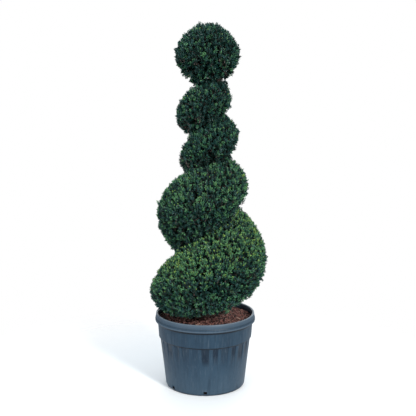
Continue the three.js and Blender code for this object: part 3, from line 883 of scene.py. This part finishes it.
def spray_tones(ends, normals, depths, gaps):
    """Tone of each spray's leaves: by depth, by the light they stand in, and in patches."""
    count = len(ends)
    sunny = ease(normals[:, 2], -0.3, 0.8)
    lower = 1 - ease(ends[:, 2], *NEW_GROWTH_FADES)
    blotch = patches(ends, 14, 3.0)
    young = 0.05 * ease(normals[:, 2], 0.1, 0.7) * ease(blotch, -0.5, 0.5) * (0.1 + 0.9 * lower)
    fresh = 0.02 + 0.02 * sunny + 0.34 * lower * (0.25 + 0.75 * sunny)
    middling = 0.09 + 0.14 * sunny + 0.22 * lower * (0.4 + 0.6 * sunny)
    bluish = 0.48 - 0.13 * sunny - 0.20 * lower
    # Painted shade on top of the ball: fewer lighter tones there.
    ball_top_shade = 1 - BALL_DARKER * ease(ends[:, 2], *BALL_DARKENS)
    steps = np.cumsum([young, fresh, middling, bluish], axis=0) * ball_top_shade
    rank = (dice.uniform(0, 1, count) > steps).sum(axis=0)
    tone = np.array([YOUNG, FRESH, MID, BLUE, DEEP])[rank]
    tone = np.where(depths > SHADED_DEPTH, ONE_TONE_DARKER[tone], tone)
    overhung = (1 - ease(gaps, *OVERHUNG_GAP)) * (1 - 0.7 * ease(normals[:, 2], 0.0, 0.6))
    overhung *= 0.9 * (1 - 0.4 * high_up(ends[:, 2]))
    in_a_cut = dice.uniform(0, 1, count) < overhung
    return np.where(in_a_cut, ONE_TONE_DARKER[ONE_TONE_DARKER[tone]], tone)


def leaf_set(foot, end, per_shoot, outline, halves, scale):
    """Leaves in a spiral up each shoot: vertices, faces, and how far up its shoot each stands."""
    count = len(foot)
    step = np.linspace(FIRST_LEAF, 1.0, per_shoot)[None, :]
    share = np.clip(step + dice.uniform(-0.04, 0.04, (count, per_shoot)), 0, 1)
    lean = unit(end - foot)
    length = np.linalg.norm(end - foot, axis=1)
    turn = dice.uniform(0, math.tau, (count, 1)) + np.arange(per_shoot) * GOLDEN_ANGLE
    turn = turn + dice.normal(0, TURN_WANDER, turn.shape)
    slender = high_up(end[:, 2])[:, None]
    tilt = FOOT_TILT - HIGH_UPRIGHT * slender - (TIP_CLOSING - HIGH_CLOSING * slender) * share
    tilt = np.radians(tilt + dice.normal(0, TILT_WANDER, share.shape))
    side_a = unit(np.cross(lean, dice.normal(0, 1, lean.shape)))
    side_b = np.cross(lean, side_a)
    out = side_a[:, None] * np.cos(turn)[..., None] + side_b[:, None] * np.sin(turn)[..., None]
    stem = np.broadcast_to(lean[:, None], out.shape)
    axis = stem * np.cos(tilt)[..., None] + out * np.sin(tilt)[..., None]
    face_up = stem * np.sin(tilt)[..., None] - out * np.cos(tilt)[..., None]
    across = np.cross(face_up, axis)
    roll = dice.normal(0, ROLL_WANDER, share.shape)[..., None]
    across, face_up = (across * np.cos(roll) + face_up * np.sin(roll),
                       face_up * np.cos(roll) - across * np.sin(roll))
    size = scale * dice.uniform(*LEAF_LENGTH, share.shape)
    size = size * (1 - TIP_LEAF_SMALLER * ease(share, 0.8, 1.0)) * (1 + HIGH_LONGER * slender)
    place = foot[:, None] + lean[:, None] * (share * (length[:, None] - LAST_LEAF_BACK))[..., None]
    across = across * (LEAF_WIDTH - HIGH_SLIMMER * slender)[..., None]
    frames = np.stack([axis, across, face_up], axis=2)
    verts = np.einsum("vk,nlkd->nlvd", outline, frames) * size[..., None, None]
    verts += place[:, :, None]
    faces = halves[None] + np.arange(count * per_shoot)[:, None, None] * len(outline)
    return verts.reshape(-1, 3), faces.reshape(-1, halves.shape[1]), share.reshape(-1)


for name, (foot, end, ends, normals, depths, inner_sprays, gaps) in sprays.items():
    from_spot = np.linalg.norm(ends[:, None] - BARE_SPOTS[:, :3], axis=2) / BARE_SPOTS[:, 3]
    leafy = dice.uniform(0, 1, len(ends)) > BARE_SHARE * (1 - ease(from_spot.min(axis=1), 0.5, 1.0))
    ends, normals, depths, gaps = (v[leafy] for v in (ends, normals, depths, gaps))
    foot, end = (v[np.repeat(leafy, SHOOTS_IN_A_SPRAY)] for v in (foot, end))
    inner = np.repeat(inner_sprays[leafy], SHOOTS_IN_A_SPRAY)
    tone = np.repeat(spray_tones(ends, normals, depths, gaps), SHOOTS_IN_A_SPRAY)
    luck = dice.uniform(0, 1, len(tone))
    lighter = np.where(luck > 1 - LIGHTER_SHOOTS, ONE_TONE_LIGHTER[tone], tone)
    tone = np.where(luck < DARKER_SHOOTS, ONE_TONE_DARKER[tone], lighter)
    outer_verts, outer_faces, share = leaf_set(
        foot[~inner], end[~inner], LEAVES_ON_A_SHOOT, LEAF_OUTLINE, LEAF_HALVES, 1.0)
    inner_verts, inner_faces, _ = leaf_set(
        foot[inner], end[inner], INNER_LEAVES, INNER_OUTLINE, INNER_HALVES, INNER_LEAF_SIZE)
    leaf_tone = np.repeat(tone[~inner], LEAVES_ON_A_SHOOT)
    leaf_tone = np.where(share < DARKER_TO, ONE_TONE_DARKER[leaf_tone], leaf_tone)
    leaf_tone = np.where(share < SHADED_TO, SHADED, leaf_tone)
    tip_tone = np.where(leaf_tone < FRESH, ONE_TONE_LIGHTER[leaf_tone], leaf_tone)
    light_tip = (share > LIGHTER_FROM) & (dice.uniform(0, 1, len(share)) < LIGHTER_TIPS)
    leaf_tone = np.where(light_tip, tip_tone, leaf_tone)
    sunlit = 1 - HIGH_YOUNG_TIPS_LOSS * ease(ends[:, 2], *YOUNG_TIPS_FADE)
    sunlit = ease(normals[:, 2], 0.0, 0.7) * sunlit
    sunlit = np.repeat(np.repeat(sunlit, SHOOTS_IN_A_SPRAY)[~inner], LEAVES_ON_A_SHOOT)
    new_growth = (share > YOUNG_FROM) & (dice.uniform(0, 1, len(share)) < YOUNG_TIPS * sunlit)
    leaf_tone = np.where(new_growth, YOUNG, leaf_tone)
    inner_tone = np.where(luck[inner] < SHADED_INNER, SHADED, DEEP)
    slots = np.concatenate([np.repeat(leaf_tone, len(LEAF_HALVES)),
                            np.repeat(inner_tone, INNER_LEAVES * len(INNER_HALVES))])
    leaf_piece = mesh_piece(name.replace("foliage", "leaves"),
                            np.concatenate([outer_verts, inner_verts]),
                            [outer_faces, inner_faces + len(outer_verts)],
                            [tone.material for tone in leaf_tones], slots=slots)
    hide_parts(name)


# -------------------------------------------------- studio
# A pale floor that fades into a white backdrop, soft light from all sides and most of it from the
# front and above, and a camera above head height that looks a little down.
FLOOR_RADIUS, FLOOR_FADE, FLOOR_SIDES = 2.4, 1.7, 64
DOME_LOW, DOME_HIGH = 0.50, 1.02  # strength of the sky's light near the floor and overhead
DOME_TINT = (0.86, 0.94, 1.0, 1)
floor_angle = np.arange(FLOOR_SIDES) * math.tau / FLOOR_SIDES
floor_edge = [np.cos(floor_angle), np.sin(floor_angle), np.zeros(FLOOR_SIDES)]
floor_verts = FLOOR_RADIUS * np.stack(floor_edge, axis=1)
floor_mesh = bpy.data.meshes.new("studio_floor")
floor_mesh.from_pydata(floor_verts.tolist(), [], [tuple(range(FLOOR_SIDES))])
floor = bpy.data.objects.new("studio_floor", floor_mesh)
bpy.context.collection.objects.link(floor)
pale = Finish("studio_floor", 0.9, 0.1)
pale.plain((0.93, 0.93, 0.93))
place = pale.node("ShaderNodeTexCoord").outputs["Object"]
reach = pale.node("ShaderNodeVectorMath", {0: place}, operation="LENGTH").outputs["Value"]
fade = pale.node("ShaderNodeMapRange", {"Value": reach, "From Min": FLOOR_RADIUS - FLOOR_FADE,
                                        "From Max": FLOOR_RADIUS}, interpolation_type="SMOOTHSTEP")
clear = pale.node("ShaderNodeBsdfTransparent").outputs[0]
blend = pale.node("ShaderNodeMixShader", {0: fade.outputs["Result"], 1: pale.shader.outputs[0],
                                          2: clear})
pale.links.new(blend.outputs[0], pale.nodes["Material Output"].inputs["Surface"])
floor_mesh.materials.append(pale.material)

world = bpy.data.worlds.new("studio")
world.use_nodes = True
sky, sky_links = world.node_tree.nodes, world.node_tree.links
height = sky.new("ShaderNodeSeparateXYZ")
sky_links.new(sky.new("ShaderNodeTexCoord").outputs["Generated"], height.inputs[0])
dome = sky.new("ShaderNodeMapRange")
dome.inputs["From Min"].default_value, dome.inputs["From Max"].default_value = -0.1, 1.0
dome.inputs["To Min"].default_value, dome.inputs["To Max"].default_value = DOME_LOW, DOME_HIGH
sky_links.new(height.outputs["Z"], dome.inputs["Value"])
seen = sky.new("ShaderNodeLightPath")
backdrop = sky.new("ShaderNodeMix")
sky_links.new(seen.outputs["Is Camera Ray"], backdrop.inputs[0])
sky_links.new(dome.outputs["Result"], backdrop.inputs[2])
backdrop.inputs[3].default_value = 1.0
tint = sky.new("ShaderNodeMix")
tint.data_type = "RGBA"
sky_links.new(seen.outputs["Is Camera Ray"], tint.inputs[0])
tint.inputs[6].default_value, tint.inputs[7].default_value = DOME_TINT, (1, 1, 1, 1)
sky_links.new(tint.outputs[2], sky["Background"].inputs["Color"])
sky_links.new(backdrop.outputs[0], sky["Background"].inputs["Strength"])
bpy.context.scene.world = world


def soft_light(name, come_from, strength, spread, colour):
    """Even light from one side, soft over so many degrees, and as strong low down as high up."""
    lamp = bpy.data.lights.new(name, "SUN")
    lamp.energy, lamp.angle, lamp.color = strength, math.radians(spread), colour
    holder = bpy.data.objects.new(name, lamp)
    holder.rotation_euler = Vector(come_from).to_track_quat("Z", "Y").to_euler()
    bpy.context.collection.objects.link(holder)


soft_light("key_right", (0.46, -0.70, 0.50), 2.4, 11, (1.0, 0.99, 0.96))
soft_light("fill_left", (-0.62, -0.66, 0.20), 1.15, 45, (0.93, 0.97, 1.0))
soft_light("fill_back", (0.10, 0.90, 0.30), 1.6, 60, (0.97, 0.99, 1.0))

CAMERA_PLACE = (0, -6.285, 2.413)
CAMERA_DOWN, CAMERA_RIGHT = 0.154, 0.0036  # radians from level and from straight ahead
LENS = 69.63
camera = bpy.data.objects.new("camera", bpy.data.cameras.new("camera"))
camera.data.lens = LENS
camera.location = CAMERA_PLACE
camera.rotation_euler = (math.pi / 2 - CAMERA_DOWN, 0, -CAMERA_RIGHT)
bpy.context.collection.objects.link(camera)
bpy.context.scene.camera = camera
bpy.context.scene.view_settings.view_transform = "Standard"
